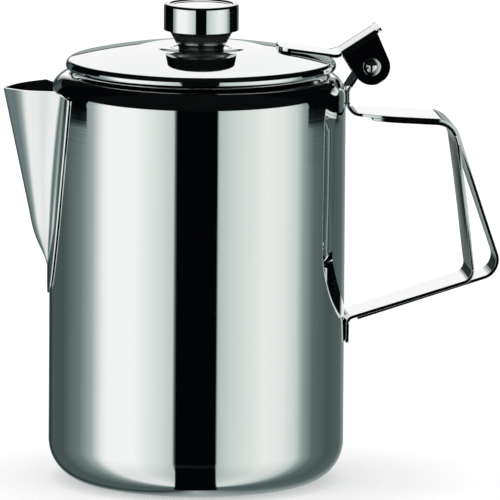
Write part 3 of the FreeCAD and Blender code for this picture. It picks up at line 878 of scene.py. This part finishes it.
# %% Rivet
rivet_head, rivet_dome = 2.3, 1.1
washer_wall = 0.5
rivet_half = lever_half + washer_wall
on_pin = Matrix.Translation((pin.x, 0, pin.y)) @ Matrix.Rotation(math.radians(-90), 4, "X")
ball = (rivet_head ** 2 + rivet_dome ** 2) / (2 * rivet_dome)
dome_angle = math.degrees(math.asin(rivet_head / ball))
dome = arc(Vector((0, rivet_half + rivet_dome - ball)), ball, 90 - dome_angle, 90, 12)
rivet_line = [Vector((p.x, -p.y)) for p in reversed(dome)]
rivet_line += [Vector((pin_radius, -rivet_half)), Vector((pin_radius, rivet_half))] + dome
hinge_pin = piece("hinge_pin", [turned(rivet_line, 64, on_pin)], closed=True)
hinge_pin.data.materials.append(pin_steel)
settle(hinge_pin, "lid", "hinge_rivet")

# %% Washers
washer_radius, washer_edge = 3.4, 0.15
washer_grids = []
for low in (-rivet_half, lever_half):
    ring = rounded([
        Vector((pin_radius, low)),
        Vector((washer_radius, low)),
        Vector((washer_radius, low + washer_wall)),
        Vector((pin_radius, low + washer_wall)),
    ], [washer_edge, washer_edge], steps=5)
    washer_grids.append(turned(ring, 64, on_pin))
hinge_rings = piece("hinge_rings", washer_grids, closed=True)
hinge_rings.data.materials.append(pin_steel)
settle(hinge_rings, "lid", "hinge_washers")

# %% [markdown]
# ## The studio
# A mirror shows its studio, so the studio is part of the look. The pot was photographed between two tall
# white panels with a dark slit between them for the lens, grey walls at the sides, a white sweep behind and
# a dark ceiling. Real panels could be modelled as planes, but those also block light and stand in the view.
# So the world itself carries them, as colours by direction, for reflected rays only. The camera sees plain
# white, and everything else gets a plain soft light.

# %% Studio colours
wall_grey, wall_deep, back_grey, back_black = "#5d6c6c", "#485656", "#a9b3b3", "#1d2323"
slit_black, ceiling_black = "#040507", "#0a0c0d"
table_grey, sweep_white = "#97a1a1", "#ffffff"
left_wall = [
    (-180, back_grey), (-175, "#8a9595"), (-165, back_black), (-152, wall_deep), (-128, wall_deep),
    (-104, "#6f7f7f"), (-90, "#a3b1af")]
left_panel = [(-79, "#f4f5f3"), (-73, "#ffffff"), (-50, "#ffffff"), (-34, "#e6ebe8"), (-18, "#c6d2ce")]
lens_slit = [(-16.6, slit_black), (15.6, slit_black)]
right_panel = [(17, "#bcc9c4"), (28, "#d3ddd9"), (56, "#f3f6f3"), (72, "#ecefed"), (84, "#cfdad6")]
right_wall = [(92, "#93a2a0"), (104, wall_grey), (126, wall_deep), (152, "#566464"), (180, back_grey)]
around_stops = left_wall + left_panel + lens_slit + right_panel + right_wall
print("studio walls in", len(around_stops), "steps from behind the pot round to behind it again")

# %% Studio walls
# The bearing of a direction is measured from the camera, to the right, so that zero looks into the lens
# slit.
camera_azimuth = -6.3
world = bpy.data.worlds.new("white_studio")
world.use_nodes = True
bpy.context.scene.world = world
sky = world.node_tree
sky.nodes.clear()
view = node(sky, "ShaderNodeTexCoord", {}).outputs["Generated"]
facing = node(sky, "ShaderNodeMapping", {
    "Vector": view, "Rotation": (0, 0, math.radians(-camera_azimuth))}, vector_type="POINT")
axes = node(sky, "ShaderNodeSeparateXYZ", {0: facing.outputs[0]})
to_camera = node(sky, "ShaderNodeMath", {0: axes.outputs["Y"], 1: -1.0}, operation="MULTIPLY")
bearing = node(sky, "ShaderNodeMath", {
    0: axes.outputs["X"], 1: to_camera.outputs[0]}, operation="ARCTAN2")
whole_turn = node(sky, "ShaderNodeMapRange", {
    "Value": bearing.outputs[0], "From Min": -math.pi, "From Max": math.pi})
walls = node(sky, "ShaderNodeValToRGB", {0: whole_turn.outputs[0]})
stops = walls.color_ramp.elements
while len(stops) < len(around_stops):
    stops.new(0.5)
for stop, (degrees, code) in zip(stops, around_stops):
    stop.position = (degrees + 180) / 360
    stop.color = linear(code)
print("the camera looks from an azimuth of", camera_azimuth, "degrees")

# %% Studio limits
# A limit names what is measured, where a layer starts and where it is full.
off_axis = node(sky, "ShaderNodeMath", {0: bearing.outputs[0]}, operation="ABSOLUTE")
sideways = node(sky, "ShaderNodeMath", {0: axes.outputs["X"]}, operation="ABSOLUTE")


def higher(degrees, soft):
    """The limit of a layer that lies above a height in the studio."""
    start, full = (math.sin(math.radians(degrees + d)) for d in (-soft, soft))
    return axes.outputs["Z"], start, full


def beyond(degrees, soft):
    """The limit of a layer that lies further round than a bearing, to either side."""
    return off_axis.outputs[0], math.radians(degrees - soft), math.radians(degrees + soft)


def opposite(limit):
    """The same limit for a layer on its other side."""
    measure, start, full = limit
    return measure, full, start


print("a quarter turn is a bearing of", round(beyond(90, 0)[1], 3), "radians")

# %% Studio sizes
panel_top, panel_soft = 14.0, 0.8
table_edge, table_soft = -84.0, 1.0
fall_start, fall_soft, fall_share = -30.0, 16.0, 0.2
card_start, card_start_soft = 96.5, 0.6
card_end, card_end_soft = 145.0, 2.0
card_low, card_low_soft = -8.46, 0.03
sweep_start, sweep_start_soft = 166.0, 4.0
sweep_low, sweep_soft, sweep_gap = 5.5, 0.3, 1.2
sweep_top, sweep_top_soft = 64.0, 1.5
strip_half, strip_flare, strip_soft = 0.152, 0.122, 0.006
strip_end, strip_end_soft = 0.26, 0.02
strip_top, strip_top_soft = -24.0, 1.0
print("sweep from", sweep_low, "to", sweep_top, "degrees above the table")

# %% Ceiling, sweep, card and table
# The slit goes on over the table as a strip that narrows towards the pot and ends under it.
spread = node(sky, "ShaderNodeMath", {
    0: axes.outputs["Y"], 1: strip_flare, 2: sideways.outputs[0]}, operation="MULTIPLY_ADD")
on_strip = (spread.outputs[0], strip_half + strip_soft, strip_half - strip_soft)
before_end = (axes.outputs["Y"], strip_end + strip_end_soft, strip_end - strip_end_soft)
behind = beyond(sweep_start, sweep_start_soft)
beside_pot = [beyond(card_start, card_start_soft), opposite(beyond(card_end, card_end_soft))]
layers = [
    (wall_grey, fall_share, [opposite(higher(fall_start, fall_soft))]),
    (ceiling_black, 1.0, [higher(panel_top, panel_soft)]),
    (slit_black, 1.0, beside_pot + [higher(card_low, card_low_soft)]),
    (slit_black, 1.0, [behind, higher(sweep_low - sweep_gap, sweep_soft)]),
    (sweep_white, 1.0, [behind, higher(sweep_low, sweep_soft)]),
    (ceiling_black, 1.0, [higher(sweep_top, sweep_top_soft)]),
    (table_grey, 1.0, [opposite(higher(table_edge, table_soft))]),
    (slit_black, 1.0, [on_strip, before_end, opposite(higher(strip_top, strip_top_soft))])]
print("layers from the lowest up:", ", ".join(code for code, factor, limits in layers))

# %% Layers over the walls
studio = walls.outputs[0]
for code, factor, limits in layers:
    for measure, start, full in limits:
        edge = node(sky, "ShaderNodeMapRange", {"Value": measure, "From Min": start, "From Max": full})
        inside = node(sky, "ShaderNodeMath", {0: factor, 1: edge.outputs[0]}, operation="MULTIPLY")
        factor = inside.outputs[0]
    layer = node(sky, "ShaderNodeMix", {0: factor, 6: studio, 7: linear(code)}, data_type="RGBA")
    studio = layer.outputs[2]
print("laid", len(layers), "layers over the walls")

# %% What each kind of ray sees
ray = node(sky, "ShaderNodeLightPath", {})
lit = node(sky, "ShaderNodeMix", {
    0: ray.outputs["Is Glossy Ray"], 6: linear("#e8e8e8"), 7: studio}, data_type="RGBA")
seen = node(sky, "ShaderNodeMix", {
    0: ray.outputs["Is Camera Ray"], 6: lit.outputs[2], 7: linear("#ffffff")}, data_type="RGBA")
background = node(sky, "ShaderNodeBackground", {"Color": seen.outputs[2], "Strength": 1.0})
node(sky, "ShaderNodeOutputWorld", {"Surface": background.outputs[0]})
print("world nodes:", len(sky.nodes))

# %% [markdown]
# ## Floor, lamp and camera
# The floor is a plain pale sheet that takes the pot's soft shadow. It is hidden from reflections, because
# the polished table of the studio only mirrors the panels back, and the world already carries those below
# the horizon. One wide lamp overhead softens the shadow. The camera stands five metres away with a very
# long lens, which keeps the pot's sides upright, and looks a little down on the lid, as in the photograph.

# %% Floor
floor_half = 9000.0
floor = piece("studio_floor", [[
    [(-floor_half, -floor_half, 0), (floor_half, -floor_half, 0)],
    [(-floor_half, floor_half, 0), (floor_half, floor_half, 0)]]])
floor.visible_glossy = False
print("floor", 2 * floor_half * MM, "m wide")

# %% Floor paint
# A matt emulsion: it scatters all light evenly. A little glow for the camera alone keeps it white.
floor_grain = 6.0
floor_dark, floor_pale, floor_glow = 0.86, 0.9, 0.3
floor_paint, tree = new_material("matt_white_floor")
place = node(tree, "ShaderNodeTexCoord", {}).outputs["Object"]
grain = node(tree, "ShaderNodeTexNoise", {"Vector": place, "Scale": per(floor_grain), "Detail": 3.0})
shade = node(tree, "ShaderNodeMapRange", {
    "Value": grain.outputs[0], "To Min": floor_dark, "To Max": floor_pale})
paint = node(tree, "ShaderNodeBsdfDiffuse", {"Color": shade.outputs[0]})
floor_ray = node(tree, "ShaderNodeLightPath", {})
seen_glow = node(tree, "ShaderNodeMath", {
    0: floor_ray.outputs["Is Camera Ray"], 1: floor_glow}, operation="MULTIPLY")
glow = node(tree, "ShaderNodeEmission", {"Color": linear("#ffffff"), "Strength": seen_glow.outputs[0]})
lit_paint = node(tree, "ShaderNodeAddShader", {0: paint.outputs[0], 1: glow.outputs[0]})
node(tree, "ShaderNodeOutputMaterial", {"Surface": lit_paint.outputs[0]})
floor.data.materials.append(floor_paint)
print("painted", floor.name, "with", floor_paint.name)

# %% Lamp
lamp_size, lamp_height, lamp_power = 1600.0, 2200.0, 8.0
lamp_data = bpy.data.lights.new("overhead_softbox", "AREA")
lamp_data.size = lamp_size * MM
lamp_data.energy = lamp_power
lamp = bpy.data.objects.new("overhead_softbox", lamp_data)
lamp.location = (0, 0, lamp_height * MM)
lamp.visible_glossy = False
bpy.context.collection.objects.link(lamp)
print("softbox", lamp_size * MM, "m across")

# %% Camera directions
camera_pitch, camera_roll = 9.02, 0.4
rightward = Vector((math.cos(math.radians(camera_azimuth)), math.sin(math.radians(camera_azimuth)), 0))
inward = Vector((-rightward.y, rightward.x, 0))
pitch, roll = math.radians(camera_pitch), math.radians(camera_roll)
look = inward * math.cos(pitch) - Vector((0, 0, math.sin(pitch)))
upright = inward * math.sin(pitch) + Vector((0, 0, math.cos(pitch)))
camera_right = rightward * math.cos(roll) + upright * math.sin(roll)
camera_up = upright * math.cos(roll) - rightward * math.sin(roll)
print("the camera looks down by", camera_pitch, "degrees")

# %% Camera
camera_distance, camera_height, camera_side = 5000.0, 881.6, 20.1
lens, sensor = 961.0, 36.0
position = rightward * camera_side - inward * camera_distance + Vector((0, 0, camera_height))
camera_data = bpy.data.cameras.new("photo_camera")
camera_data.lens = lens
camera_data.sensor_width = sensor
camera_data.clip_end = 10 * camera_distance * MM
camera = bpy.data.objects.new("photo_camera", camera_data)
aim = Matrix((camera_right, camera_up, -look)).transposed().to_4x4()
camera.matrix_world = Matrix.Translation(position * MM) @ aim
bpy.context.collection.objects.link(camera)
bpy.context.scene.camera = camera
bpy.context.scene.view_settings.view_transform = "Standard"
print("camera at", tuple(round(v, 1) for v in position), "mm")

# %% [markdown]
# ## Finish
# The dressed pot has to stay inside the CAD model's box, or it would no longer fit where the part is used.
# The last step only brings the scene up to date.

# %% Finish
bpy.context.view_layer.update()
